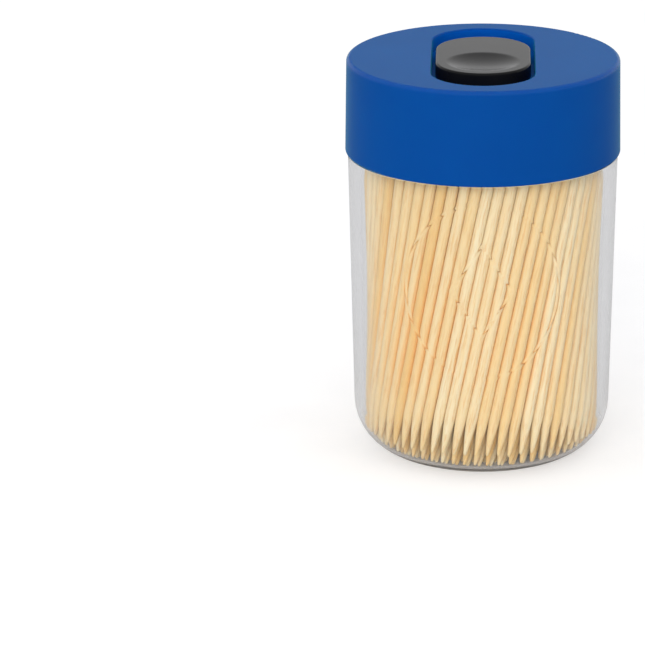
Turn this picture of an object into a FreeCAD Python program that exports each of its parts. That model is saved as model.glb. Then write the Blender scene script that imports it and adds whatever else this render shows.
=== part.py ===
"""Toothpick dispenser: a clear jar, a blue push-on lid with a sliding shutter, and the picks inside.

Frame: millimetres, +Z up, origin at the middle of the jar's foot on the surface that it stands on.
The shutter slides along Y. The dispensing hole is at the -Y end of the recess, which is the front.
"""

import FreeCAD, Part
import math
import os
import random

import Sketcher

V = FreeCAD.Vector

# Driving dimensions in millimetres (angles in degrees), each with what it measures.
SIZES = [
    ("jar_base_dia", 51.4, "outer diameter of the jar at its foot, before the corner is rounded"),
    ("jar_shoulder_dia", 54.4, "outer diameter of the jar just under the lid"),
    ("jar_wall", 1.9, "wall of the jar at its foot"),
    ("jar_floor", 1.5, "thickness of the jar's floor"),
    ("jar_corner_round", 10.8, "outer radius of the rounded corner at the foot"),
    ("corner_tightening", 1.3, "how much tighter that corner is inside than the wall alone would make it"),
    ("shoulder_round", 0.3, "edge radius of the ledge that the lid sits on"),
    ("neck_step", 1.3, "how far the neck steps in from the jar's wall, which leaves the ledge"),
    ("neck_height", 12.0, "height of the neck above the ledge"),
    ("neck_wall", 1.1, "wall of the neck"),
    ("rim_round", 0.45, "edge radius of the jar's rim"),
    ("foot_ring_width", 2.75, "width of the flat ring that the jar stands on"),
    ("foot_hollow_depth", 0.5, "depth of the shallow hollow inside that ring"),
    ("bead_height", 0.35, "how far the snap bead stands out of the neck"),
    ("bead_width", 1.6, "width of the snap bead along Z"),
    ("bead_level", 6.5, "height of the bead's middle above the ledge"),
    ("bead_clearance", 0.15, "clearance between the bead and the lid's bore"),
    ("ornament_width", 31.0, "width of the raised oval on the jar's front"),
    ("ornament_height", 37.0, "height of the raised oval"),
    ("ornament_margin", 3.3, "how far the oval's top stays below the ledge"),
    ("lozenge_width", 13.0, "width of the raised lozenge inside the oval"),
    ("lozenge_height", 20.0, "height of that lozenge"),
    ("ornament_line", 0.6, "width of the raised lines"),
    ("ornament_relief", 0.15, "how far the raised lines stand out"),
    ("lid_height", 19.4, "height of the lid from its foot to its flat top"),
    ("lid_draft", 0.25, "how far the lid's skirt narrows towards its top, all round"),
    ("lid_wall", 1.3, "wall of the lid's skirt at its foot"),
    ("lid_plate", 1.6, "thickness of the lid's flat top"),
    ("crown_round", 0.8, "edge radius round the lid's top"),
    ("lid_foot_round", 0.5, "outer edge radius at the skirt's foot"),
    ("inner_round", 1.0, "radius between the lid's skirt and plate, inside"),
    ("groove_depth", 0.3, "depth of the snap groove in the skirt's bore"),
    ("groove_room", 0.3, "room of the groove above and below the bead"),
    ("recess_depth", 2.8, "depth of the recess below the lid's top"),
    ("recess_floor", 1.6, "thickness of the recess floor"),
    ("recess_round", 0.35, "edge radius round the recess"),
    ("pan_wall", 1.5, "wall of the pan that the recess makes under the plate"),
    ("hole_room", 0.8, "how much wider the dispensing hole is than two toothpicks side by side"),
    ("hole_uncovered", 0.1, "how far the open slider stands behind the hole"),
    ("hole_land", 1.45, "floor left between the hole and the stem's slot"),
    ("hole_round", 0.3, "edge radius at the mouth of the hole"),
    ("slider_length", 29.7, "length of the slider along Y"),
    ("slider_width", 19.1, "width of the slider"),
    ("slider_travel", 6.25, "how far the slider goes each way from the lid's middle"),
    ("slider_proud", 0.2, "how far the slider's top stands above the lid's top"),
    ("slider_lift", 0.1, "running clearance under the slider"),
    ("slider_round", 0.45, "edge radius round the slider's top"),
    ("slider_end_gap", 1.4, "gap left between slider and recess end at each stop"),
    ("slider_side_gap", 0.8, "gap between the slider and each side of the recess"),
    ("slider_rest", 0.5, "where the slider's middle stands at rest, from the lid's middle towards the back"),
    ("dish_margin", 2.4, "rim left between the thumb dish and the slider's edge"),
    ("dish_depth", 0.9, "depth of the thumb dish"),
    ("dish_round", 3.0, "radius that softens the dish's edge"),
    ("slot_width", 6.4, "width of the slot for the slider's stem"),
    ("slot_corner", 0.3, "corner radius of that slot, which clears the legs' square corners"),
    ("stem_length", 2.4, "length of the stem along Y"),
    ("stem_clearance", 0.1, "clearance of the stem to the slot's ends at each stop"),
    ("stem_side_clearance", 0.2, "clearance of each leg to the slot's side"),
    ("leg_thickness", 1.2, "thickness of each of the stem's two legs"),
    ("hook_reach", 0.8, "how far each hook reaches under the recess floor"),
    ("hook_height", 1.3, "height of the hooks"),
    ("hook_clearance", 0.15, "clearance between hooks and recess floor"),
    ("pick_length", 65.0, "length of a toothpick"),
    ("pick_dia", 2.1, "diameter of a toothpick"),
    ("pick_taper", 7.0, "length of each pointed end"),
    ("pick_tip_dia", 0.6, "diameter of the blunt tip"),
    ("pick_overtop", 3.7, "how far a pick that stands upright on the floor reaches above the ledge"),
    ("pick_clearance", 0.03, "least gap between two picks"),
    ("pick_wall_gap", 0.15, "least gap between a pick and the jar"),
    ("pick_spacing", 0.08, "mean free room between neighbours in a ring of picks"),
    ("pick_nesting", 0.08, "how much closer than one diameter two rings of picks stand"),
    ("bundle_foot_gap", 0.4, "how far the outer ring stands off the wall near the foot, before it settles"),
    ("bundle_lean", 11.0, "lean of the outermost picks round the bundle, in degrees"),
    ("bundle_tilt", 0.5, "lean of the whole bundle towards +X, in degrees"),
    ("pick_scatter", 0.9, "largest random shift of a pick's upper end, before it settles"),
]

# Dimensions that follow from the driving ones, so that every fit keeps its clearance.
TIED_SIZES = [
    ("shoulder_height", "jar_floor + pick_length - pick_overtop", "height of the ledge"),
    ("neck_dia", "jar_shoulder_dia - 2 * neck_step", "outer diameter of the neck inside the lid"),
    (
        "bore_corner_round",
        "jar_corner_round - jar_wall - corner_tightening",
        "radius of the corner between the bore and the floor",
    ),
    (
        "foot_hollow_dia",
        "jar_base_dia - 2 * (jar_corner_round + foot_ring_width)",
        "diameter of the shallow hollow under the jar",
    ),
    (
        "ornament_level",
        "shoulder_height - ornament_margin - ornament_height / 2",
        "height of the oval's middle",
    ),
    ("lid_bore", "neck_dia + 2 * (bead_height + bead_clearance)", "bore of the lid's skirt"),
    ("lid_foot_dia", "lid_bore + 2 * lid_wall", "outer diameter of the lid at its foot"),
    (
        "lid_crown_dia",
        "lid_foot_dia - 2 * lid_draft",
        "outer diameter of the lid at its top, before rounding",
    ),
    (
        "recess_length",
        "slider_length + 2 * (slider_travel + slider_end_gap)",
        "length of the round-ended recess along Y",
    ),
    ("recess_width", "slider_width + 2 * slider_side_gap", "width of the recess"),
    ("dish_dia", "slider_width - 2 * dish_margin", "diameter of the thumb dish in the slider"),
    ("hole_dia", "2 * pick_dia + hole_room", "diameter of the dispensing hole"),
    (
        "hole_distance",
        "slider_length / 2 - slider_travel + hole_uncovered + hole_dia / 2",
        "distance of the hole's middle from the lid's middle, towards the front",
    ),
    (
        "slot_length",
        "2 * (slider_travel + stem_clearance) + stem_length",
        "length of the slot for the slider's stem",
    ),
    (
        "stem_shift",
        "slot_length / 2 - (hole_distance - hole_dia / 2 - hole_land)",
        "how far the stem stands behind the slider's middle",
    ),
]

# How the loose picks are settled: rounds of pushing at most, rounds between searches for neighbours, how
# many diameters away a neighbour may be, steps between the heights compared, and the lack that may stay.
SETTLING_ROUNDS = 400
NEIGHBOUR_ROUNDS = 20
NEIGHBOUR_REACH = 1.6
STATIONS = 4
SETTLED = 0.01
SCATTER_SEED = 7
# The picks are kept in this many objects, each one a sector of the bundle.
SECTORS = 12
# Steps in which a pick is let down onto the floor, and points along its tip that must clear the corner.
LOWERING_STEP = 0.05
TIP_POINTS = 8

# Expressions that several pieces share.
LID_TOP = "(Sizes.shoulder_height + Sizes.lid_height)"
PLATE_UNDERSIDE = f"({LID_TOP} - Sizes.lid_plate)"
RECESS_BED = f"({LID_TOP} - Sizes.recess_depth)"
PAN_UNDERSIDE = f"({RECESS_BED} - Sizes.recess_floor)"
BEAD_MIDDLE = "(Sizes.shoulder_height + Sizes.bead_level)"
LID_BORE = "(Sizes.lid_bore / 2)"
EDGE_TOLERANCE = 1e-3


def make_sheet(doc):
    """Write the dimensions into the spreadsheet, one alias each: the driving ones, then the tied ones."""
    sheet = doc.addObject("Spreadsheet::Sheet", "Sizes")
    rows = [(alias, str(value), meaning) for alias, value, meaning in SIZES]
    rows += [(alias, "=" + formula, meaning) for alias, formula, meaning in TIED_SIZES]
    for row, (alias, content, meaning) in enumerate(rows, start=1):
        sheet.set(f"A{row}", alias)
        sheet.set(f"B{row}", content)
        sheet.setAlias(f"B{row}", alias)
        sheet.set(f"C{row}", meaning)
    doc.recompute()
    return sheet


# ---------------------------------------------------------------- sketch helpers


def new_sketch(body, name, role, offset=None):
    """A sketch on one of the body's origin planes, moved along the plane's normal by an expression."""
    sketch = body.newObject("Sketcher::SketchObject", name)
    plane = next(f for f in body.Origin.OriginFeatures if f.Role == role)
    sketch.AttachmentSupport = [(plane, "")]
    sketch.MapMode = "FlatFace"
    if offset is not None:
        sketch.setExpression("AttachmentOffset.Base.z", offset)
    return sketch


def bind(sketch, constraint, expression):
    """Add a constraint whose value follows an expression."""
    index = sketch.addConstraint(constraint)
    sketch.setExpression(f"Constraints[{index}]", expression)


def draw_polygon(sketch, corners):
    """A closed outline whose corners follow pairs of expressions, drawn first round a circle."""
    count = len(corners)
    first = sketch.GeometryCount
    turn = 2 * math.pi / count
    start = [V(10 * math.cos(turn * k), 10 * math.sin(turn * k), 0) for k in range(count)]
    for k in range(count):
        sketch.addGeometry(Part.LineSegment(start[k], start[(k + 1) % count]), False)
    for k in range(count):
        after = first + (k + 1) % count
        sketch.addConstraint(Sketcher.Constraint("Coincident", first + k, 2, after, 1))
    for k, (across, up) in enumerate(corners):
        bind(sketch, Sketcher.Constraint("DistanceX", -1, 1, first + k, 1, start[k].x), across)
        bind(sketch, Sketcher.Constraint("DistanceY", -1, 1, first + k, 1, start[k].y), up)


def draw_stadium(sketch, length, width, middle="0"):
    """A round-ended outline along the sketch's Y axis."""
    radius, reach = 5.0, 10.0
    up = V(0, 0, 1)
    head = sketch.addGeometry(
        Part.ArcOfCircle(Part.Circle(V(0, reach, 0), up, radius), 0, math.pi), False
    )
    tail = sketch.addGeometry(
        Part.ArcOfCircle(Part.Circle(V(0, -reach, 0), up, radius), math.pi, 2 * math.pi), False
    )
    left = sketch.addGeometry(Part.LineSegment(V(-radius, reach, 0), V(-radius, -reach, 0)), False)
    right = sketch.addGeometry(Part.LineSegment(V(radius, -reach, 0), V(radius, reach, 0)), False)
    for one, other in ((head, left), (left, tail), (tail, right), (right, head)):
        sketch.addConstraint(Sketcher.Constraint("Tangent", one, 2, other, 1))
    sketch.addConstraint(Sketcher.Constraint("PointOnObject", head, 3, -2))
    sketch.addConstraint(Sketcher.Constraint("PointOnObject", tail, 3, -2))
    sketch.addConstraint(Sketcher.Constraint("Equal", head, tail))
    half = f"({length} - {width}) / 2"
    bind(sketch, Sketcher.Constraint("Radius", head, radius), f"{width} / 2")
    bind(sketch, Sketcher.Constraint("DistanceY", -1, 1, head, 3, reach), f"{middle} + {half}")
    bind(sketch, Sketcher.Constraint("DistanceY", -1, 1, tail, 3, -reach), f"{middle} - {half}")


def draw_circle(sketch, diameter, forward):
    """A circle on the sketch's Y axis, a given distance from the origin towards -Y."""
    ring = sketch.addGeometry(Part.Circle(V(0, -10, 0), V(0, 0, 1), 2.0), False)
    sketch.addConstraint(Sketcher.Constraint("PointOnObject", ring, 3, -2))
    bind(sketch, Sketcher.Constraint("Radius", ring, 2.0), f"{diameter} / 2")
    bind(sketch, Sketcher.Constraint("DistanceY", -1, 1, ring, 3, -10.0), f"-{forward}")


# ---------------------------------------------------------------- feature helpers


def revolve(body, name, corners, kind="PartDesign::Revolution"):
    """Turn a closed outline in the XZ plane a full turn about Z, adding or cutting."""
    sketch = new_sketch(body, name + "Outline", "XZ_Plane")
    draw_polygon(sketch, corners)
    feature = body.newObject(kind, name)
    feature.Profile = sketch
    feature.ReferenceAxis = (sketch, ["V_Axis"])
    feature.Angle = 360
    body.Document.recompute()
    return feature


def extrude(body, name, sketch, length=None, cut=False, symmetric=False):
    """Pad or pocket a sketch; a pocket without a length goes through everything below it."""
    feature = body.newObject("PartDesign::Pocket" if cut else "PartDesign::Pad", name)
    feature.Profile = sketch
    if length is None:
        feature.Type = "ThroughAll"
    else:
        feature.setExpression("Length", length)
    if symmetric:
        feature.SideType = "Symmetric"
    body.Document.recompute()
    return feature


def round_edges(body, name, radius, wanted):
    """Fillet every edge of the body's tip that the test picks out."""
    base = body.Tip
    names = [f"Edge{i}" for i, edge in enumerate(base.Shape.Edges, start=1) if wanted(edge)]
    if not names:
        raise RuntimeError(f"{name}: no edge to round")
    fillet = body.newObject("PartDesign::Fillet", name)
    fillet.Base = (base, names)
    fillet.setExpression("Radius", radius)
    body.Document.recompute()
    return fillet


def near(one, other):
    return abs(one - other) < EDGE_TOLERANCE


def ring_at(level, radius):
    """A test for full circles about Z at one height and of one radius."""

    def wanted(edge):
        box = edge.BoundBox
        flat = near(box.ZMin, level) and near(box.ZMax, level)
        return flat and near(box.XMax, radius) and near(box.YMax, radius)

    return wanted


def flat_at(level, half_width):
    """A test for edges that lie at one height inside a band of half_width either side of X = 0."""

    def wanted(edge):
        box = edge.BoundBox
        flat = near(box.ZMin, level) and near(box.ZMax, level)
        return flat and max(abs(box.XMin), abs(box.XMax)) < half_width + EDGE_TOLERANCE

    return wanted


# ---------------------------------------------------------------- jar


def make_jar(doc, size):
    """The clear jar: tapered thick wall, large rounded foot, neck with a snap bead, raised ornament."""
    body = doc.addObject("PartDesign::Body", "JarShell")
    rim = "(Sizes.shoulder_height + Sizes.neck_height)"
    revolve(
        body,
        "Wall",
        [
            ("0", "Sizes.foot_hollow_depth"),
            ("Sizes.foot_hollow_dia / 2", "Sizes.foot_hollow_depth"),
            ("Sizes.foot_hollow_dia / 2", "0"),
            ("Sizes.jar_base_dia / 2", "0"),
            ("Sizes.jar_shoulder_dia / 2", "Sizes.shoulder_height"),
            ("Sizes.neck_dia / 2", "Sizes.shoulder_height"),
            ("Sizes.neck_dia / 2", rim),
            ("Sizes.neck_dia / 2 - Sizes.neck_wall", rim),
            ("Sizes.jar_base_dia / 2 - Sizes.jar_wall", "Sizes.jar_floor"),
            ("0", "Sizes.jar_floor"),
        ],
    )
    shoulder = size.shoulder_height
    rim_level = shoulder + size.neck_height
    round_edges(
        body, "FootRound", "Sizes.jar_corner_round", ring_at(0, size.jar_base_dia / 2)
    )
    round_edges(
        body,
        "InnerFootRound",
        "Sizes.bore_corner_round",
        ring_at(size.jar_floor, size.jar_base_dia / 2 - size.jar_wall),
    )
    round_edges(
        body, "ShoulderRound", "Sizes.shoulder_round", ring_at(shoulder, size.jar_shoulder_dia / 2)
    )
    neck_inside = ring_at(rim_level, size.neck_dia / 2 - size.neck_wall)
    neck_outside = ring_at(rim_level, size.neck_dia / 2)
    round_edges(
        body, "RimRound", "Sizes.rim_round", lambda edge: neck_inside(edge) or neck_outside(edge)
    )
    revolve(body, "SnapBead", bead_outline("Sizes.neck_dia / 2", "Sizes.bead_height", "0"))
    ornament = make_ornament(doc, size)
    jar = doc.addObject("Part::MultiFuse", "Jar")
    jar.Shapes = [body, ornament]
    jar.Refine = True
    jar.Label = "jar"
    return jar


def bead_outline(radius, height, room):
    """The bead's section, or with room the groove's: a low trapezium on a cylinder, with 45 degree sides."""
    low = f"{BEAD_MIDDLE} - Sizes.bead_width / 2 - {room}"
    high = f"{BEAD_MIDDLE} + Sizes.bead_width / 2 + {room}"
    return [
        (radius, low),
        (f"{radius} + {height}", f"{low} + {height}"),
        (f"{radius} + {height}", f"{high} - {height}"),
        (radius, high),
    ]


def make_ornament(doc, size):
    """Raised lines on the jar's front: an oval with a lozenge in it, wrapped onto the tapered wall."""
    front = doc.addObject("PartDesign::Body", "OrnamentLines")
    oval = new_sketch(front, "OvalOutline", "XZ_Plane")
    draw_oval(oval, size, "0")
    draw_oval(oval, size, "Sizes.ornament_line")
    extrude(front, "Oval", oval, "Sizes.jar_shoulder_dia")
    lozenge = new_sketch(front, "LozengeOutline", "XZ_Plane")
    draw_lozenge(lozenge, "0")
    draw_lozenge(lozenge, "Sizes.ornament_line")
    extrude(front, "Lozenge", lozenge, "Sizes.jar_shoulder_dia")

    skin = wall_cone(doc, "OrnamentSkin", "Sizes.ornament_relief")
    core = wall_cone(doc, "OrnamentCore", "-Sizes.jar_wall / 2")
    raised = doc.addObject("Part::MultiCommon", "OrnamentOutside")
    raised.Shapes = [front, skin]
    ornament = doc.addObject("Part::Cut", "Ornament")
    ornament.Base = raised
    ornament.Tool = core
    return ornament


def wall_cone(doc, name, outward):
    """A solid cone as high as the jar's outer wall, larger or smaller by an expression all round."""
    cone = doc.addObject("Part::Cone", name)
    cone.setExpression("Radius1", f"Sizes.jar_base_dia / 2 + {outward}")
    cone.setExpression("Radius2", f"Sizes.jar_shoulder_dia / 2 + {outward}")
    cone.setExpression("Height", "Sizes.shoulder_height")
    return cone


def draw_oval(sketch, size, inward):
    """An upright oval about the ornament's middle, smaller all round by an expression."""
    level, high, wide = size.ornament_level, size.ornament_height, size.ornament_width
    oval = sketch.addGeometry(Part.Ellipse(V(0, level, 0), high / 2, wide / 2), False)
    sketch.exposeInternalGeometry(oval)
    long_axis, short_axis = oval + 1, oval + 2
    sketch.addConstraint(Sketcher.Constraint("Vertical", long_axis))
    sketch.addConstraint(Sketcher.Constraint("PointOnObject", oval, 3, -2))
    bind(sketch, Sketcher.Constraint("DistanceY", -1, 1, oval, 3, level), "Sizes.ornament_level")
    for axis, span, start in (
        (long_axis, "Sizes.ornament_height", high),
        (short_axis, "Sizes.ornament_width", wide),
    ):
        bind(sketch, Sketcher.Constraint("Distance", axis, start), f"{span} - 2 * {inward}")


def draw_lozenge(sketch, inward):
    """An upright lozenge about the ornament's middle, smaller all round by an expression."""
    slant = "sqrt(Sizes.lozenge_width ^ 2 + Sizes.lozenge_height ^ 2)"
    across = f"Sizes.lozenge_width / 2 - {inward} * {slant} / Sizes.lozenge_height"
    up = f"Sizes.lozenge_height / 2 - {inward} * {slant} / Sizes.lozenge_width"
    middle = "Sizes.ornament_level"
    draw_polygon(
        sketch,
        [
            (across, middle),
            ("0", f"{middle} + {up}"),
            (f"-({across})", middle),
            ("0", f"{middle} - ({up})"),
        ],
    )


# ---------------------------------------------------------------- lid


def make_lid(doc, size):
    """The blue cap: skirt and plate, a pan with the recess, the hole, the stem's slot and the snap groove."""
    body = doc.addObject("PartDesign::Body", "Lid")
    body.Label = "lid"
    revolve(
        body,
        "Cap",
        [
            ("0", PLATE_UNDERSIDE),
            (LID_BORE, PLATE_UNDERSIDE),
            (LID_BORE, "Sizes.shoulder_height"),
            ("Sizes.lid_foot_dia / 2", "Sizes.shoulder_height"),
            ("Sizes.lid_crown_dia / 2", LID_TOP),
            ("0", LID_TOP),
        ],
    )
    top = size.shoulder_height + size.lid_height
    round_edges(body, "CrownRound", "Sizes.crown_round", ring_at(top, size.lid_crown_dia / 2))
    round_edges(
        body,
        "LidFootRound",
        "Sizes.lid_foot_round",
        ring_at(size.shoulder_height, size.lid_foot_dia / 2),
    )
    round_edges(body, "InnerRound", "Sizes.inner_round", ring_at(top - size.lid_plate, size.lid_bore / 2))
    revolve(
        body,
        "SnapGroove",
        bead_outline(LID_BORE, "Sizes.groove_depth", "Sizes.groove_room"),
        "PartDesign::Groove",
    )

    pan = new_sketch(body, "PanOutline", "XY_Plane", PAN_UNDERSIDE)
    draw_stadium(
        pan,
        "(Sizes.recess_length + 2 * Sizes.pan_wall)",
        "(Sizes.recess_width + 2 * Sizes.pan_wall)",
    )
    extrude(body, "Pan", pan, f"{PLATE_UNDERSIDE} - {PAN_UNDERSIDE}")
    recess = new_sketch(body, "RecessOutline", "XY_Plane", LID_TOP)
    draw_stadium(recess, "Sizes.recess_length", "Sizes.recess_width")
    extrude(body, "Recess", recess, "Sizes.recess_depth", cut=True)
    round_edges(body, "RecessRound", "Sizes.recess_round", flat_at(top, size.recess_width / 2))

    hole = new_sketch(body, "HoleOutline", "XY_Plane", RECESS_BED)
    draw_circle(hole, "Sizes.hole_dia", "Sizes.hole_distance")
    extrude(body, "Hole", hole, cut=True)
    round_edges(
        body, "HoleRound", "Sizes.hole_round", flat_at(top - size.recess_depth, size.hole_dia / 2)
    )
    slot = new_sketch(body, "SlotOutline", "XY_Plane", RECESS_BED)
    draw_polygon(
        slot,
        [
            ("-Sizes.slot_width / 2", "Sizes.stem_shift - Sizes.slot_length / 2"),
            ("Sizes.slot_width / 2", "Sizes.stem_shift - Sizes.slot_length / 2"),
            ("Sizes.slot_width / 2", "Sizes.stem_shift + Sizes.slot_length / 2"),
            ("-Sizes.slot_width / 2", "Sizes.stem_shift + Sizes.slot_length / 2"),
        ],
    )
    extrude(body, "Slot", slot, cut=True)
    half_slot = size.slot_width / 2

    def slot_corner(edge):
        box = edge.BoundBox
        upright = near(box.XLength, 0) and near(box.YLength, 0)
        return upright and near(abs(box.XMin), half_slot) and box.ZMax < top - EDGE_TOLERANCE

    round_edges(body, "SlotCorners", "Sizes.slot_corner", slot_corner)
    return body


# ---------------------------------------------------------------- slider


def make_slider(doc, size):
    """The black slider: a round-ended plate with a thumb dish, and a stem of two hooked legs below."""
    body = doc.addObject("PartDesign::Body", "Slider")
    body.Label = "slider"
    bed = f"({RECESS_BED} + Sizes.slider_lift)"
    plate = new_sketch(body, "PlateOutline", "XY_Plane", bed)
    draw_stadium(plate, "Sizes.slider_length", "Sizes.slider_width", "Sizes.slider_rest")
    extrude(body, "Plate", plate, f"{LID_TOP} + Sizes.slider_proud - {bed}")
    top = size.shoulder_height + size.lid_height + size.slider_proud
    round_edges(body, "SliderRound", "Sizes.slider_round", flat_at(top, size.slider_width / 2))

    dish = body.newObject("PartDesign::SubtractiveSphere", "ThumbDish")
    ball = "((Sizes.dish_dia ^ 2 / 4 + Sizes.dish_depth ^ 2) / (2 * Sizes.dish_depth))"
    dish.setExpression("Radius", ball)
    end_middle = "Sizes.slider_rest - (Sizes.slider_length - Sizes.slider_width) / 2"
    dish.setExpression("Placement.Base.y", end_middle)
    dish.setExpression(
        "Placement.Base.z", f"{LID_TOP} + Sizes.slider_proud - Sizes.dish_depth + {ball}"
    )
    doc.recompute()
    round_edges(body, "DishRound", "Sizes.dish_round", flat_at(top, size.dish_dia / 2))

    outside = "(Sizes.slot_width / 2 - Sizes.stem_side_clearance)"
    inside = f"({outside} - Sizes.leg_thickness)"
    hook_top = f"({PAN_UNDERSIDE} - Sizes.hook_clearance)"
    hook_foot = f"({hook_top} - Sizes.hook_height)"
    leg = new_sketch(body, "LegOutline", "XZ_Plane", "-(Sizes.slider_rest + Sizes.stem_shift)")
    draw_polygon(
        leg,
        [
            (inside, hook_foot),
            (outside, hook_foot),
            (f"{outside} + Sizes.hook_reach", f"{hook_foot} + Sizes.hook_reach"),
            (f"{outside} + Sizes.hook_reach", hook_top),
            (outside, hook_top),
            (outside, bed),
            (inside, bed),
        ],
    )
    leg_pad = extrude(body, "Leg", leg, "Sizes.stem_length", symmetric=True)
    pair = body.newObject("PartDesign::Mirrored", "LegPair")
    pair.Originals = [leg_pad]
    middle_plane = next(f for f in body.Origin.OriginFeatures if f.Role == "YZ_Plane")
    pair.MirrorPlane = (middle_plane, [""])
    body.Tip = pair
    doc.recompute()
    return body


# ---------------------------------------------------------------- toothpicks


def make_pick(doc):
    """One toothpick along +Z with its lower tip at the origin: the pattern of every pick in the jar."""
    body = doc.addObject("PartDesign::Body", "Pick")
    revolve(
        body,
        "PickTurned",
        [
            ("0", "0"),
            ("Sizes.pick_tip_dia / 2", "0"),
            ("Sizes.pick_dia / 2", "Sizes.pick_taper"),
            ("Sizes.pick_dia / 2", "Sizes.pick_length - Sizes.pick_taper"),
            ("Sizes.pick_tip_dia / 2", "Sizes.pick_length"),
            ("0", "Sizes.pick_length"),
        ],
    )
    return body


def bore_shape(size):
    """The jar's bore: radius at the floor, widening per millimetre, corner radius, corner's middle radius."""
    foot = size.jar_base_dia / 2 - size.jar_wall
    mouth = size.neck_dia / 2 - size.neck_wall
    slope = (mouth - foot) / (size.shoulder_height + size.neck_height - size.jar_floor)
    corner = size.bore_corner_round
    return foot, slope, corner, foot + slope * corner - corner


def bore_radius(size, level):
    """The radius of the jar's bore at a height, with the rounded corner above the floor."""
    foot, slope, corner, middle = bore_shape(size)
    below = size.jar_floor + corner - level
    if below <= 0:
        return foot + slope * (level - size.jar_floor)
    return middle + math.sqrt(max(corner**2 - below**2, 0.0))


def corner_height(size, radius):
    """How far the rounded corner stands above the floor at a radius."""
    foot, slope, corner, middle = bore_shape(size)
    beyond = min(max(radius - middle, 0.0), corner)
    return corner - math.sqrt(corner**2 - beyond**2)


def pick_radius(size, along):
    """The radius of a pick at a distance from its lower tip."""
    from_tip = min(along, size.pick_length - along)
    share = min(max(from_tip / size.pick_taper, 0.0), 1.0)
    return (size.pick_tip_dia + (size.pick_dia - size.pick_tip_dia) * share) / 2


class PickAxis:
    """A pick's axis, held by where it passes two heights, low and high."""

    def __init__(self, low, high):
        self.low = list(low)
        self.high = list(high)

    def at(self, share):
        """The point of the axis at a share of the way from the low height to the high one."""
        return (
            self.low[0] + (self.high[0] - self.low[0]) * share,
            self.low[1] + (self.high[1] - self.low[1]) * share,
        )

    def move(self, share, across, along):
        """Shift the axis where it passes the share, moving both ends by how near they are."""
        near_low, near_high = 1 - share, share
        scale = 1 / (near_low**2 + near_high**2)
        self.low[0] += across * near_low * scale
        self.low[1] += along * near_low * scale
        self.high[0] += across * near_high * scale
        self.high[1] += along * near_high * scale


def outer_ring(size, low):
    """The radius of the outermost ring of picks at the low height."""
    return bore_radius(size, low) - size.pick_dia / 2 - size.bundle_foot_gap


def first_axes(size, low, high):
    """Rings of picks turned into a loose twist, before they settle against each other."""
    chance = random.Random(SCATTER_SEED)
    outer = outer_ring(size, low)
    outer_high = bore_radius(size, high) - size.pick_dia / 2 - size.pick_wall_gap
    spread = outer_high / outer
    span = high - low
    turn = math.asin(span * math.tan(math.radians(size.bundle_lean)) / outer_high)
    waist = (1 + spread) / 2 * math.cos(turn / 2)
    tightest = min(spread, waist, 1.0)
    step = (size.pick_dia - size.pick_nesting) / tightest
    tilt = span * math.tan(math.radians(size.bundle_tilt))
    axes = []
    for ring in range(int(outer / step) + 1):
        radius = outer - ring * step
        around = 2 * math.pi * radius * tightest
        count = max(int(around / (size.pick_dia + size.pick_spacing)), 1)
        start = chance.uniform(0, 2 * math.pi)
        for k in range(count):
            angle = start + 2 * math.pi * k / count
            turned = angle + turn
            shift = chance.uniform(-size.pick_scatter, size.pick_scatter)
            low_point = (radius * math.cos(angle), radius * math.sin(angle))
            high_point = (
                radius * spread * math.cos(turned) - shift * math.sin(turned) + tilt,
                radius * spread * math.sin(turned) + shift * math.cos(turned),
            )
            axes.append(PickAxis(low_point, high_point))
    return axes


def settle(size, axes, low, high):
    """Push picks apart, and off the wall, until none is nearer to another than its diameter allows."""
    span = high - low
    half_point = size.pick_taper / 2
    thin = 2 * pick_radius(size, half_point)
    stations = [(-half_point / span, thin), (1 + half_point / span, thin)]
    stations += [(k / STATIONS, size.pick_dia) for k in range(STATIONS + 1)]
    for turn in range(SETTLING_ROUNDS):
        if turn % NEIGHBOUR_ROUNDS == 0:
            pairs = neighbours(axes, NEIGHBOUR_REACH * size.pick_dia)
        worst = 0
        for one, other in pairs:
            worst = max(worst, push_apart(size, one, other, stations, span))
        for axis in axes:
            worst = max(worst, push_inward(size, axis, stations, low, span))
        if worst < SETTLED:
            break


def push_apart(size, one, other, stations, span):
    """Part two picks where they come too close, and return the largest lack of room."""
    lean_x = (one.high[0] - one.low[0] + other.high[0] - other.low[0]) / (2 * span)
    lean_y = (one.high[1] - one.low[1] + other.high[1] - other.low[1]) / (2 * span)
    stretch = 1 + lean_x**2 + lean_y**2
    worst = 0
    for share, width in stations:
        here, there = one.at(share), other.at(share)
        dx, dy = there[0] - here[0], there[1] - here[1]
        apart = math.sqrt(dx * dx + dy * dy - (dx * lean_x + dy * lean_y) ** 2 / stretch)
        lack = width + size.pick_clearance - apart
        if lack > 0:
            push = 0.5 * lack / max(math.hypot(dx, dy), EDGE_TOLERANCE)
            one.move(share, -dx * push, -dy * push)
            other.move(share, dx * push, dy * push)
            worst = max(worst, lack)
    return worst


def push_inward(size, axis, stations, low, span):
    """Move a pick off the jar's wall where it comes too close, and return the largest lack of room."""
    worst = 0
    for share, width in stations:
        x, y = axis.at(share)
        radius = math.hypot(x, y)
        wall = bore_radius(size, max(low + span * share, low))
        lack = radius + width / 2 + size.pick_wall_gap - wall
        if lack > 0:
            axis.move(share, -x * lack / radius, -y * lack / radius)
            worst = max(worst, lack)
    return worst


def neighbours(axes, reach):
    """Pairs of picks that pass within reach of each other at the low, middle or high height."""
    pairs = []
    for i, one in enumerate(axes):
        for other in axes[i + 1 :]:
            for share in (0, 0.5, 1):
                here, there = one.at(share), other.at(share)
                if abs(here[0] - there[0]) < reach and abs(here[1] - there[1]) < reach:
                    pairs.append((one, other))
                    break
    return pairs


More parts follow.
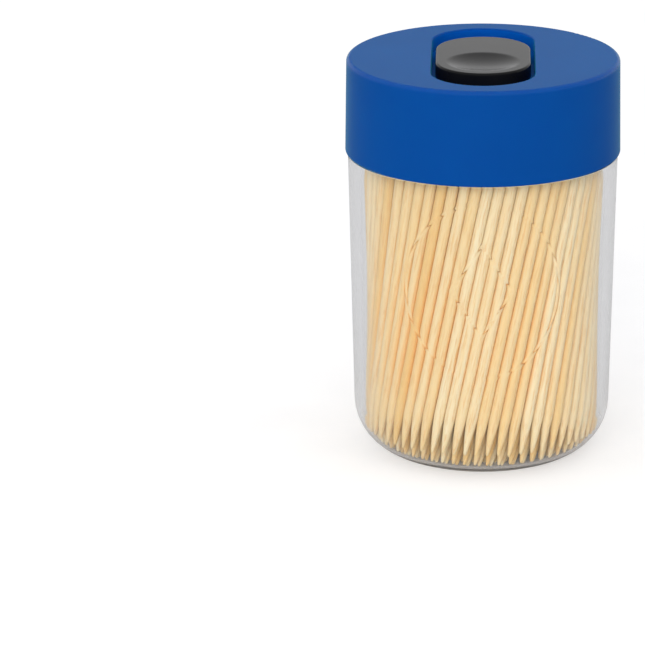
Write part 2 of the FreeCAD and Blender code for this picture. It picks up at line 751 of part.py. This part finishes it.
def stand(size, axis, low, high):
    """The placement of a pick on its axis, let down until its point meets the floor or the corner."""
    span = high - low
    slope = V((axis.high[0] - axis.low[0]) / span, (axis.high[1] - axis.low[1]) / span, 1)
    direction = V(slope).normalize()
    tip_edge = size.pick_tip_dia / 2 * math.hypot(direction.x, direction.y)
    lowest = size.jar_floor + tip_edge + size.pick_clearance

    def fits(level):
        for k in range(TIP_POINTS + 1):
            along = size.pick_taper * k / TIP_POINTS
            height = level + along * direction.z
            x, y = axis.at((height - low) / span)
            room = bore_radius(size, height) - size.pick_wall_gap
            if math.hypot(x, y) + pick_radius(size, along) > room:
                return False
        return True

    steps = int(size.pick_taper / LOWERING_STEP)
    levels = [lowest + LOWERING_STEP * k for k in range(steps)]
    level = next(height for height in levels if fits(height))
    x, y = axis.at((level - low) / span)
    return FreeCAD.Placement(V(x, y, level), FreeCAD.Rotation(V(0, 0, 1), direction))


def make_picks(doc, size):
    """The bundle: one object for each sector of it, every pick in it a solid of its own."""
    pattern = make_pick(doc)
    low = size.jar_floor + size.pick_taper
    raised = corner_height(size, outer_ring(size, low))
    high = size.jar_floor + raised + size.pick_length - size.pick_taper
    axes = first_axes(size, low, high)
    settle(size, axes, low, high)
    sectors = [[] for _ in range(SECTORS)]
    for axis in axes:
        place = stand(size, axis, low, high)
        x, y = axis.at(0.5)
        turned = math.atan2(y, x) / (2 * math.pi) % 1
        solid = pattern.Shape.transformed(place.toMatrix(), copy=True)
        sectors[int(turned * SECTORS)].append(solid)
    features = []
    for number, solids in enumerate(sectors, start=1):
        feature = doc.addObject("Part::Feature", f"PickSector{number:02d}")
        feature.Shape = Part.makeCompound(solids)
        feature.Label = f"toothpicks_sector_{number:02d}"
        features.append(feature)
    print("toothpicks:", len(axes), "in sectors of", [len(solids) for solids in sectors])
    return features


# ---------------------------------------------------------------- document


def check(doc, parts):
    """Stop if an object failed to recompute, or if a sub-part has no valid shape."""
    for thing in doc.Objects:
        if "Invalid" in thing.State or "Error" in thing.State:
            raise RuntimeError(f"{thing.Name} failed: {thing.State}")
    for part in parts:
        if part.Shape.isNull() or not part.Shape.isValid():
            raise RuntimeError(f"{part.Label} has no valid shape")


def main():
    doc = FreeCAD.newDocument("ToothpickDispenser")
    size = make_sheet(doc)
    parts = [make_jar(doc, size), make_lid(doc, size), make_slider(doc, size)]
    parts += make_picks(doc, size)
    doc.recompute()
    check(doc, parts)
    os.makedirs("parts", exist_ok=True)
    for part in parts:
        part.Shape.exportStep(os.path.join("parts", part.Label + ".step"))
        box = part.Shape.BoundBox
        print(f"{part.Label}: {len(part.Shape.Solids)} solids, {part.Shape.Volume:.1f} mm3,", box)


main()
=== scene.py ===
import math
import random

import bpy
import numpy as np
from mathutils import Matrix, Vector


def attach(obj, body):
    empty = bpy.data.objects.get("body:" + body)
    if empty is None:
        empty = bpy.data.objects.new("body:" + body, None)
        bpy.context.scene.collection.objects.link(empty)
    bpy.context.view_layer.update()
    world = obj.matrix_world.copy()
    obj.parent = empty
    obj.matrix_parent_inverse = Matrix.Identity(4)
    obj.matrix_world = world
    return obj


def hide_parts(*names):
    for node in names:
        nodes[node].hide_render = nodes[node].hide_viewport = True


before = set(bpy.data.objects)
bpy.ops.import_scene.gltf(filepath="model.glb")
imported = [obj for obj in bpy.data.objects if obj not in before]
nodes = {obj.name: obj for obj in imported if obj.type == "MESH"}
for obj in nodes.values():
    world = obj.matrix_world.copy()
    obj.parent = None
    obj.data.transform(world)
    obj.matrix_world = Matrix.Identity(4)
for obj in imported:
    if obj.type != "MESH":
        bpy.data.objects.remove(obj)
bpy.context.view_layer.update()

MM = 0.001

# The camera: what it looks at, where that is in the picture in pixels, and how far away it stands.
PICTURE = 645
TARGET = Vector((0, 0, 50 * MM))
TARGET_PIXEL = (482.35, 210.65)
DISTANCE = 1.0
PITCH = math.radians(16.45)
ROLL = math.radians(-0.32)
FOCAL_PIXELS = 4940

# The jar's section in millimetres, as the CAD has it: radii, heights and corner radii.
FOOT_HOLLOW = (12.15, 0.5)
BASE_RADIUS, SHOULDER_RADIUS, LEDGE = 25.7, 27.2, 62.8
CORNER, BORE_CORNER, WALL, FLOOR = 10.8, 7.6, 1.9, 1.5
NECK_RADIUS, NECK_WALL, RIM = 25.9, 1.1, 74.8
BEAD_MIDDLE, BEAD_HALF, BEAD_HEIGHT = 69.3, 0.8, 0.35

# The ornament on the jar's front: its middle's height, the half axes of its oval and its lozenge,
# the half width of its lines and how far they stand out.
ORNAMENT_LEVEL, OVAL, LOZENGE = 41.0, (15.2, 18.2), (6.14, 9.45)
LINE_HALF, RELIEF = 0.3, 0.12

# The jar's mesh: points to a right angle of rounding, the steps up a wall, and the steps round it,
# which are fine where the ornament is.
CORNER_STEPS = 10
TALL_WALL, WALL_STEP, ORNAMENT_STEP = 20.0, 3.0, 0.25
ORNAMENT_HALF_TURN, ORNAMENT_TURN_STEP = math.radians(37), math.radians(0.5)
TURNS_ELSEWHERE = 145

# The toothpick in millimetres: distance from a tip and radius there, up to its full thickness.
PICK_LENGTH = 65.0
PICK_PROFILE = [
    (0.0, 0.10), (0.10, 0.22), (0.35, 0.31), (1.6, 0.48), (3.6, 0.72), (5.4, 0.90), (7.2, 1.02),
    (8.5, 1.05), (22.0, 1.05),
]
PICK_SIDES = 14

# How the picks differ from each other: ranges, and for the tone a mean and a spread.
FLATNESS = (0.0, 0.02)
RIPPLE = (-0.008, 0.0)
BLUNTNESS = (0.75, 1.0)
STOUTNESS = (1.02, 1.08)
TONE = (0.42, 0.34)
GRAIN_OFFSET = (-500, 500)

# Places in millimetres where a material changes, each pair from where to where it does.
RECESS_HALF_WIDTH, RECESS_HALF_LENGTH = 10.6, 22.7
RECESS_BED, RECESS_BRIM = 79.3, 81.9
CROWN_EDGE_RADIUS, CROWN_EDGE_HEIGHT = (26.7, 27.1), (81.2, 81.6)
# Where the picks get painted orange shade: from radius to radius, and heights from the lower and
# the upper end.
SHADED_RADIUS, SHADED_FROM, SHADED_TO = (23.3, 22.2), (12.0, 22.0), (64.0, 58.0)
# Where the floor's painted shadow round the jar's foot fades out, as distances from the floor's
# middle.
FOOT_SHADE = (18.0, 55.0)


# ---------------------------------------------------------------- node helpers


def material(name):
    made = bpy.data.materials.new(name)
    made.use_nodes = True
    made.node_tree.nodes.clear()
    return made, made.node_tree


def add(tree, kind, inputs=None, **settings):
    """A node with its settings; an input is a value or another node's output."""
    node = tree.nodes.new(kind)
    for key, value in settings.items():
        setattr(node, key, value)
    for key, value in (inputs or {}).items():
        if isinstance(value, bpy.types.NodeSocket):
            tree.links.new(value, node.inputs[key])
        else:
            node.inputs[key].default_value = value
    return node


def maths(tree, operation, *values):
    return add(tree, "ShaderNodeMath", dict(enumerate(values)), operation=operation).outputs[0]


def product(tree, first, *others):
    for other in others:
        first = maths(tree, "MULTIPLY", first, other)
    return first


def ramp(tree, factor, *stops):
    """A colour ramp; each stop is a position and a linear colour."""
    node = add(tree, "ShaderNodeValToRGB", {"Fac": factor})
    elements = node.color_ramp.elements
    while len(elements) < len(stops):
        elements.new(0.5)
    for element, (position, colour) in zip(elements, stops):
        element.position = position
        element.color = (*colour, 1)
    return node.outputs["Color"]


def mix(tree, factor, one, other):
    """Colour one at factor 0, the other at factor 1."""
    node = add(tree, "ShaderNodeMix", data_type="RGBA")
    factor_input, one_input, other_input = 0, 6, 7
    tree.links.new(factor, node.inputs[factor_input])
    for socket, value in ((one_input, one), (other_input, other)):
        if isinstance(value, bpy.types.NodeSocket):
            tree.links.new(value, node.inputs[socket])
        else:
            node.inputs[socket].default_value = (*value, 1)
    return node.outputs[2]


def noise(tree, vector, scale, detail=2.0, roughness=0.5):
    values = {"Vector": vector, "Scale": scale, "Detail": detail, "Roughness": roughness}
    return add(tree, "ShaderNodeTexNoise", values).outputs["Fac"]


def span(tree, value, low, high):
    """A 0 to 1 value brought to a range."""
    values = {"Value": value, "To Min": low, "To Max": high}
    return add(tree, "ShaderNodeMapRange", values).outputs["Result"]


def fade(tree, value, start, end, top=1.0, **settings):
    """0 where the value is at the start, going to the top where it is at the end."""
    values = {"Value": value, "From Min": start, "From Max": end, "To Max": top}
    return add(tree, "ShaderNodeMapRange", values, **settings).outputs["Result"]


def fade_mm(tree, length, limits):
    start, end = limits
    return fade(tree, length, start * MM, end * MM)


def object_place(tree):
    return add(tree, "ShaderNodeTexCoord").outputs["Object"]


def axis_distance(tree, place):
    """How far a place is from the jar's axis."""
    values = {0: place, 1: (1.0, 1.0, 0.0)}
    flat = add(tree, "ShaderNodeVectorMath", values, operation="MULTIPLY").outputs[0]
    return add(tree, "ShaderNodeVectorMath", {0: flat}, operation="LENGTH").outputs["Value"]


def stretched(tree, vector, scale):
    return add(tree, "ShaderNodeMapping", {"Vector": vector, "Scale": scale}).outputs["Vector"]


def bump(tree, height, strength, distance):
    values = {"Height": height, "Strength": strength, "Distance": distance}
    return add(tree, "ShaderNodeBump", values).outputs["Normal"]


def principled(tree, values):
    return add(tree, "ShaderNodeBsdfPrincipled", values).outputs[0]


def finish_material(tree, surface):
    return add(tree, "ShaderNodeOutputMaterial", {"Surface": surface})


# ---------------------------------------------------------------- materials


def clear_plastic():
    """Polished clear plastic, faintly smoky, with shallow moulded waves and hair scratches."""
    made, tree = material("clear_plastic")
    place = object_place(tree)
    waves = noise(tree, place, 45.0, 1.0)
    scratches = noise(tree, stretched(tree, place, (900.0, 900.0, 60.0)), 1.0, 3.0)
    glass = principled(
        tree,
        {
            "Base Color": (0.99, 0.99, 0.99, 1),
            "Roughness": span(tree, scratches, 0.0, 0.012),
            "IOR": 1.57,
            "Specular Tint": (0.4, 0.4, 0.4, 1),
            "Transmission Weight": 1.0,
            "Normal": bump(tree, waves, 0.03, 0.0004),
        },
    )
    clear = add(tree, "ShaderNodeBsdfTransparent", {"Color": (1, 1, 1, 1)}).outputs[0]
    path = add(tree, "ShaderNodeLightPath").outputs
    unbent = maths(tree, "MAXIMUM", path["Is Shadow Ray"], path["Is Diffuse Ray"])
    surface = add(tree, "ShaderNodeMixShader", {0: unbent, 1: glass, 2: clear}).outputs[0]
    output = finish_material(tree, surface)
    values = {"Color": (0.50, 0.505, 0.51, 1), "Density": 25.0}
    smoke = add(tree, "ShaderNodeVolumeAbsorption", values).outputs[0]
    tree.links.new(smoke, output.inputs["Volume"])
    return made


def blue_plastic():
    """Glossy royal blue moulded plastic: faint flow clouding, a fine skin and slightly uneven
    gloss, duller inside the recess and more polished round the crown's edge. Its recess walls
    are painted a lighter blue, as painted light filling the recess."""
    made, tree = material("blue_plastic")
    place = object_place(tree)
    clouds = noise(tree, place, 28.0, 3.0)
    colour = ramp(
        tree, clouds, (0.3, (0.0005, 0.052, 0.250)), (0.7, (0.0008, 0.062, 0.280))
    )
    half = add(tree, "ShaderNodeVectorMath", {0: place}, operation="ABSOLUTE").outputs[0]
    across, along, height = add(tree, "ShaderNodeSeparateXYZ", {0: half}).outputs
    recess = product(
        tree,
        maths(tree, "LESS_THAN", across, RECESS_HALF_WIDTH * MM),
        maths(tree, "LESS_THAN", along, RECESS_HALF_LENGTH * MM),
        maths(tree, "LESS_THAN", height, RECESS_BRIM * MM),
    )
    # Painted light: the recess walls get a lighter blue, standing in for light bounced into the
    # recess.
    painted_recess_light = product(tree, recess, maths(tree, "GREATER_THAN", height, RECESS_BED * MM))
    colour = mix(tree, painted_recess_light, colour, (0.0012, 0.085, 0.39))
    crown_edge = product(
        tree,
        fade_mm(tree, axis_distance(tree, place), CROWN_EDGE_RADIUS),
        fade_mm(tree, height, CROWN_EDGE_HEIGHT),
    )
    polish = product(tree, span(tree, recess, 0.2, 0.03), span(tree, crown_edge, 1.0, 2.4))
    smears = noise(tree, place, 90.0, 4.0)
    skin = bump(tree, noise(tree, place, 5200.0, 2.0), 0.05, 0.00005)
    plastic = principled(
        tree,
        {
            "Base Color": colour,
            "Roughness": span(tree, smears, 0.35, 0.45),
            "IOR": 1.5,
            "Specular IOR Level": 0.0,
            "Subsurface Weight": 0.3,
            "Subsurface Radius": (0.1, 0.5, 1.0),
            "Subsurface Scale": 0.003,
            "Coat Weight": polish,
            "Coat Roughness": 0.12,
            "Coat IOR": 1.3,
            "Sheen Weight": 0.12,
            "Sheen Roughness": 0.3,
            "Sheen Tint": (0.15, 1.0, 0.5, 1),
            "Coat Normal": skin,
            "Normal": skin,
        },
    )
    finish_material(tree, plastic)
    return made


def black_plastic():
    """Satin black plastic with a fine eroded grain and slightly uneven gloss."""
    made, tree = material("black_plastic")
    place = object_place(tree)
    grain = noise(tree, place, 3800.0, 3.0)
    smears = noise(tree, place, 160.0, 4.0)
    colour = ramp(
        tree, smears, (0.3, (0.0035, 0.0037, 0.0042)), (0.7, (0.0060, 0.0060, 0.0064))
    )
    plastic = principled(
        tree,
        {
            "Base Color": colour,
            "Roughness": span(tree, smears, 0.20, 0.27),
            "IOR": 1.5,
            "Specular IOR Level": 0.088,
            "Normal": bump(tree, grain, 0.12, 0.00006),
        },
    )
    finish_material(tree, plastic)
    return made


def pale_wood():
    """Bare pale wood: each pick its own tone, with lengthwise grain and darker streaks. Deeper in
    the bundle, between its ends, it is painted more orange: painted shade between the picks."""
    made, tree = material("pale_wood")
    grain = add(tree, "ShaderNodeAttribute", attribute_name="grain").outputs["Vector"]
    tone = add(tree, "ShaderNodeAttribute", attribute_name="tone").outputs["Fac"]
    long_way = stretched(tree, grain, (1.0, 1.0, 0.045))
    bands = noise(tree, long_way, 1.1, 2.0)
    fibres = noise(tree, long_way, 6.0, 3.0, 0.6)
    streaks = noise(tree, long_way, 3.4, 4.0, 0.7)
    colour = ramp(
        tree,
        tone,
        (0.00, (0.80, 0.70, 0.47)),
        (0.35, (0.78, 0.62, 0.36)),
        (0.70, (0.76, 0.54, 0.24)),
        (1.00, (0.72, 0.45, 0.16)),
    )
    colour = mix(tree, span(tree, bands, -0.25, 0.75), colour, (0.78, 0.52, 0.20))
    colour = mix(tree, span(tree, fibres, -0.35, 0.55), colour, (0.81, 0.70, 0.44))
    colour = mix(tree, fade(tree, streaks, 0.52, 0.62, 0.7), colour, (0.70, 0.44, 0.19))
    place = object_place(tree)
    height = add(tree, "ShaderNodeSeparateXYZ", {0: place}).outputs["Z"]
    # Painted shade: picks deeper in the bundle, away from its ends, are painted a darker orange
    # standing in for the shade between them.
    painted_bundle_shade = product(
        tree,
        fade_mm(tree, axis_distance(tree, place), SHADED_RADIUS),
        fade_mm(tree, height, SHADED_FROM),
        fade_mm(tree, height, SHADED_TO),
    )
    colour = mix(tree, painted_bundle_shade, colour, (0.84, 0.44, 0.12))
    wood = principled(
        tree,
        {
            "Base Color": colour,
            "Roughness": span(tree, fibres, 0.50, 0.72),
            "IOR": 1.4,
            "Specular IOR Level": 0.3,
            "Subsurface Weight": 0.35,
            "Subsurface Radius": (0.8, 0.7, 0.6),
            "Subsurface Scale": 0.001,
            "Normal": bump(tree, fibres, 0.35, 0.00006),
        },
    )
    finish_material(tree, wood)
    return made


# ---------------------------------------------------------------- mesh helpers


def band(low, high):
    """The faces between two rings with as many points each."""
    count = len(low)
    return [
        (low[k], low[(k + 1) % count], high[(k + 1) % count], high[k]) for k in range(count)
    ]


def smooth_piece(name, verts, faces, look):
    """A smooth object in the scene, made of points and faces, with its material."""
    mesh = bpy.data.meshes.new(name)
    mesh.from_pydata(verts, [], faces)
    mesh.validate()
    mesh.shade_smooth()
    mesh.materials.append(look)
    piece = bpy.data.objects.new(name, mesh)
    bpy.context.scene.collection.objects.link(piece)
    return piece


# ---------------------------------------------------------------- the jar


def rounded(corners):
    """A section's line through its corners, each given as radius, height and rounding."""
    line = []
    for k, (r, z, rounding) in enumerate(corners):
        here = Vector((r, z))
        if not rounding:
            line.append(here)
            continue
        back = (Vector(corners[k - 1][:2]) - here).normalized()
        on = (Vector(corners[k + 1][:2]) - here).normalized()
        half = back.angle(on) / 2
        middle = here + (back + on).normalized() * rounding / math.sin(half)
        first = here + back * rounding / math.tan(half) - middle
        last = here + on * rounding / math.tan(half) - middle
        turn = first.angle(last)
        count = max(2, round(CORNER_STEPS * turn / (math.pi / 2)))
        for step in range(count + 1):
            share = step / count
            way = first * math.sin((1 - share) * turn) + last * math.sin(share * turn)
            line.append(middle + way / math.sin(turn))
    return line


def wall_levels(low, high, ornamented):
    """The heights between a wall's ends at which it gets points, close together at the ornament."""
    levels = []
    level = low
    while level < high:
        fine = ornamented and abs(level - ORNAMENT_LEVEL) < OVAL[1] + 0.8
        level += ORNAMENT_STEP if fine else WALL_STEP
        levels.append(level)
    return [level for level in levels if level < high - 0.2]


def jar_line():
    """The whole section, from the middle of the foot up the outside and back down the inside."""
    hollow, rise = FOOT_HOLLOW
    bead_low, bead_high = BEAD_MIDDLE - BEAD_HALF, BEAD_MIDDLE + BEAD_HALF
    proud = NECK_RADIUS + BEAD_HEIGHT
    line = rounded([
        (0.0, rise, 0),
        (hollow - 2.0, rise, 0),
        (hollow, rise, 0.2),
        (hollow, 0.0, 0.12),
        (BASE_RADIUS, 0.0, CORNER),
        (SHOULDER_RADIUS, LEDGE, 0.3),
        (NECK_RADIUS, LEDGE, 0.1),
        (NECK_RADIUS, bead_low, 0.1),
        (proud, bead_low + BEAD_HEIGHT, 0.1),
        (proud, bead_high - BEAD_HEIGHT, 0.1),
        (NECK_RADIUS, bead_high, 0.1),
        (NECK_RADIUS, RIM, 0.45),
        (NECK_RADIUS - NECK_WALL, RIM, 0.45),
        (BASE_RADIUS - WALL, FLOOR, BORE_CORNER),
        (0.0, FLOOR, 0),
    ])
    dense = []
    for here, there in zip(line, line[1:]):
        dense.append(here)
        rise = there.y - here.y
        if abs(rise) <= TALL_WALL:
            continue
        levels = wall_levels(min(here.y, there.y), max(here.y, there.y), ornamented=rise > 0)
        for level in levels if rise > 0 else reversed(levels):
            dense.append(here.lerp(there, (level - here.y) / rise))
    dense.append(line[-1])
    return dense


def relief(x, z):
    """How far the raised oval and lozenge lines stand out, at a place seen from the front."""
    up = z - ORNAMENT_LEVEL
    a, b = OVAL
    reach = math.hypot(x / a, up / b)
    slope = math.hypot(x / a**2, up / b**2) / max(reach, 1e-6)
    oval = abs(reach - 1) / max(slope, 1e-6)
    c, d = LOZENGE
    lozenge = abs(abs(x) / c + abs(up) / d - 1) * c * d / math.hypot(c, d)
    near = min(min(oval, lozenge) / LINE_HALF, 1.0)
    return RELIEF * (0.5 + 0.5 * math.cos(math.pi * near))


def make_jar(look):
    """The jar as one smooth shell: its section turned round, with the ornament in front."""
    front = -math.pi / 2
    fine = ORNAMENT_HALF_TURN
    turns = list(np.arange(-fine, fine, ORNAMENT_TURN_STEP))
    turns += list(np.linspace(fine, 2 * math.pi - fine, TURNS_ELSEWHERE)[:-1])
    verts, rings = [], []
    for r, z in jar_line():
        first = len(verts)
        if r < 1e-6:
            verts.append((0.0, 0.0, z * MM))
            rings.append([first])
            continue
        outside = r > NECK_RADIUS - NECK_WALL
        for turn in turns:
            ornamented = outside and abs(turn) <= fine
            reach = r + relief(r * math.sin(turn), z) if ornamented else r
            angle = front + turn
            verts.append((reach * math.cos(angle) * MM, reach * math.sin(angle) * MM, z * MM))
        rings.append(list(range(first, len(verts))))
    faces = []
    for low, high in zip(rings, rings[1:]):
        if len(low) == 1:
            faces += [(low[0], b, a) for a, b in zip(high, high[1:] + high[:1])]
        elif len(high) == 1:
            faces += [(a, b, high[0]) for a, b in zip(low, low[1:] + low[:1])]
        else:
            faces += band(low, high)
    jar = smooth_piece("jar_shell", verts, faces, look)
    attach(jar, "jar_body")
    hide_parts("jar")
    return jar


# ---------------------------------------------------------------- the toothpicks


def islands(mesh):
    """The points of each separate solid in a mesh."""
    points = np.zeros(len(mesh.vertices) * 3, np.float32)
    mesh.vertices.foreach_get("co", points)
    points = points.reshape(-1, 3)
    microns = np.round(points / (1e-3 * MM)).astype(np.int64)
    _, welded = np.unique(microns, axis=0, return_inverse=True)
    welded = welded.ravel()
    edges = np.zeros(len(mesh.edges) * 2, np.int64)
    mesh.edges.foreach_get("vertices", edges)
    one, other = welded[edges.reshape(-1, 2)].T
    label = np.arange(welded.max() + 1)
    while True:
        least = np.minimum(label[one], label[other])
        fresh = label.copy()
        for place in (one, other, label[one], label[other]):
            np.minimum.at(fresh, place, least)
        fresh = fresh[fresh]
        if (fresh == label).all():
            break
        label = fresh
    place = np.zeros((label.size, 3))
    place[welded] = points
    return [place[label == name] for name in np.unique(label)]


def axis_of(points):
    """The lower end and the direction of a straight turned solid."""
    low, high = points[points[:, 2].argmin()], points[points[:, 2].argmax()]
    way = (high - low) / np.linalg.norm(high - low)
    for _ in range(3):
        along = (points - low) @ way
        start = points[along < along.min() + 1e-2 * MM].mean(0)
        end = points[along > along.max() - 1e-2 * MM].mean(0)
        way = (end - start) / np.linalg.norm(end - start)
        low = start
    return start, way


def make_picks(node, look, chance):
    """Every pick of a CAD node, each slightly uneven, with its own grain and tone."""
    profile = PICK_PROFILE + [(PICK_LENGTH - along, radius) for along, radius in PICK_PROFILE[::-1]]
    distances, radii = np.array(profile).T
    angles = np.linspace(0, 2 * math.pi, PICK_SIDES, endpoint=False)
    verts, faces, grain, tones = [], [], [], []
    for points in islands(node.data):
        start, way = axis_of(points)
        side = np.cross(way, (0, 1, 0))
        side /= np.linalg.norm(side)
        other = np.cross(way, side)
        spin = chance.uniform(0, 2 * math.pi)
        flat = chance.uniform(*FLATNESS)
        ripple = np.array([chance.uniform(*RIPPLE) for _ in angles])
        seed = [chance.uniform(*GRAIN_OFFSET) for _ in range(3)]
        lower_tip, upper_tip = [chance.uniform(*BLUNTNESS) for _ in range(2)]
        tone = min(max(chance.gauss(*TONE), 0.0), 1.0)
        stout = chance.uniform(*STOUTNESS)
        shape = 1 - flat * (0.5 + 0.5 * np.cos(2 * angles)) + ripple
        thickness = radii * stout
        thickness[:2] *= lower_tip
        thickness[-2:] *= upper_tip
        rings = []
        for distance, thick in zip(distances, thickness):
            rings.append(range(len(verts), len(verts) + PICK_SIDES))
            x = thick * shape * np.cos(angles + spin)
            y = thick * shape * np.sin(angles + spin)
            ring = start + (np.outer(x, side) + np.outer(y, other) + distance * way) * MM
            verts.extend(map(tuple, ring))
            grain.extend(zip(x + seed[0], y + seed[1], [distance + seed[2]] * PICK_SIDES))
        tones.extend([tone] * (len(profile) * PICK_SIDES))
        for low, high in zip(rings, rings[1:]):
            faces.extend(band(low, high))
        faces.append(tuple(reversed(rings[0])))
        faces.append(tuple(rings[-1]))
    made = smooth_piece(node.name.replace("toothpicks", "wooden_picks"), verts, faces, look)
    attribute = made.data.attributes.new("grain", "FLOAT_VECTOR", "POINT")
    attribute.data.foreach_set("vector", np.array(grain, np.float32).ravel())
    attribute = made.data.attributes.new("tone", "FLOAT", "POINT")
    attribute.data.foreach_set("value", np.array(tones, np.float32))
    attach(made, "jar_body")
    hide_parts(node.name)
    return made


# ---------------------------------------------------------------- floor, light and camera


def make_floor():
    """A plain pale floor. The camera, and rays that the object bends or mirrors away from its
    foot, see it lighter than it lights the object. For the bent and mirrored rays that lift fades
    out towards the foot: a painted shadow under the jar."""
    bpy.ops.mesh.primitive_plane_add(size=6.0, location=(0, 0, 0))
    floor = bpy.context.object
    floor.name = "floor"
    made, tree = material("floor_white")
    place = object_place(tree)
    paper = noise(tree, place, 60.0, 3.0)
    colour = ramp(tree, paper, (0.3, (0.61, 0.61, 0.61)), (0.7, (0.64, 0.64, 0.64)))
    matt = add(tree, "ShaderNodeBsdfDiffuse", {"Color": colour}).outputs[0]
    away = add(tree, "ShaderNodeVectorMath", {0: place}, operation="LENGTH").outputs["Value"]
    # Painted shade: near the foot, the lift that bent and mirrored rays see fades out, a painted
    # shadow under and round the jar's foot.
    start, end = FOOT_SHADE
    beyond_painted_foot_shade = fade(tree, away, start * MM, end * MM, interpolation_type="SMOOTHSTEP")
    path = add(tree, "ShaderNodeLightPath").outputs
    bent = maths(tree, "MAXIMUM", path["Is Glossy Ray"], path["Is Transmission Ray"])
    strength = maths(
        tree,
        "MAXIMUM",
        product(tree, path["Is Camera Ray"], 0.42),
        product(tree, bent, beyond_painted_foot_shade, 0.08),
    )
    lift = add(tree, "ShaderNodeEmission", {"Strength": strength}).outputs[0]
    surface = add(tree, "ShaderNodeAddShader", {0: matt, 1: lift}).outputs[0]
    finish_material(tree, surface)
    floor.data.materials.append(made)


def make_world():
    """Soft studio light, stronger from the front and from above; white behind the object."""
    world = bpy.data.worlds.new("studio")
    bpy.context.scene.world = world
    world.use_nodes = True
    tree = world.node_tree
    tree.nodes.clear()
    way = add(tree, "ShaderNodeTexCoord").outputs["Generated"]
    _, depth, height = add(tree, "ShaderNodeSeparateXYZ", {0: way}).outputs
    gloss = ramp(
        tree, height, (0.0, (1.20, 1.20, 1.21)), (0.45, (1.10, 1.10, 1.10)), (0.9, (1.2, 1.2, 1.2))
    )
    soft = ramp(tree, height, (0.0, (0.68, 0.68, 0.69)), (0.9, (1.0, 1.0, 1.02)))
    values = {"Value": depth, "From Min": -0.8, "From Max": 0.8, "To Min": 1.18, "To Max": 0.70}
    from_front = add(tree, "ShaderNodeMapRange", values).outputs["Result"]
    values = {0: soft, "Scale": from_front}
    soft = add(tree, "ShaderNodeVectorMath", values, operation="SCALE").outputs[0]
    path = add(tree, "ShaderNodeLightPath").outputs
    lit = mix(tree, path["Is Glossy Ray"], soft, gloss)
    direct = maths(tree, "MAXIMUM", path["Is Camera Ray"], path["Is Transmission Ray"])
    colour = mix(tree, direct, lit, (1.0, 1.0, 1.0))
    shader = add(tree, "ShaderNodeBackground", {"Color": colour, "Strength": 1.0}).outputs[0]
    add(tree, "ShaderNodeOutputWorld", {"Surface": shader})


def make_key_lamp():
    """A large soft lamp in front. Glossy surfaces show the world instead of it."""
    data = bpy.data.lights.new("key", "AREA")
    data.shape = "SQUARE"
    data.size = 1.2
    data.energy = 18.0
    lamp = bpy.data.objects.new("key", data)
    lamp.location = (-0.25, -1.60, 0.60)
    lamp.visible_glossy = False
    way = Vector((0, 0, 0.045)) - lamp.location
    lamp.rotation_euler = way.to_track_quat("-Z", "Y").to_euler()
    bpy.context.scene.collection.objects.link(lamp)


def make_camera():
    """A camera that shows the target at its pixel, with upright lines upright there."""
    data = bpy.data.cameras.new("camera")
    data.sensor_width = 36.0
    data.lens = FOCAL_PIXELS * data.sensor_width / PICTURE
    data.clip_start, data.clip_end = 0.05, 20.0
    camera = bpy.data.objects.new("camera", data)
    bpy.context.scene.collection.objects.link(camera)
    view = Vector((0, math.cos(PITCH), -math.sin(PITCH)))
    across = (TARGET_PIXEL[0] - PICTURE / 2) / FOCAL_PIXELS
    up = (PICTURE / 2 - TARGET_PIXEL[1]) / FOCAL_PIXELS
    seen = Vector((across, up, -1)).normalized()

    def frame_of(way, upright):
        upright = (upright - way * upright.dot(way)).normalized()
        return Matrix((way, upright, way.cross(upright))).transposed()

    upright = Matrix.Rotation(ROLL, 3, view) @ Vector((0, 0, 1))
    turn = frame_of(view, upright) @ frame_of(seen, Vector((0, 1, 0))).transposed()
    camera.matrix_world = Matrix.Translation(TARGET - view * DISTANCE) @ turn.to_4x4()
    bpy.context.scene.camera = camera


# ---------------------------------------------------------------- the scene

chance = random.Random(20)
make_jar(clear_plastic())
wood = pale_wood()
for name in sorted(nodes):
    if name.startswith("toothpicks"):
        make_picks(nodes[name], wood, chance)
for name, look in (("lid", blue_plastic()), ("slider", black_plastic())):
    nodes[name].data.materials.clear()
    nodes[name].data.materials.append(look)

make_floor()
make_world()
make_key_lamp()
make_camera()
bpy.context.scene.view_settings.view_transform = "Standard"
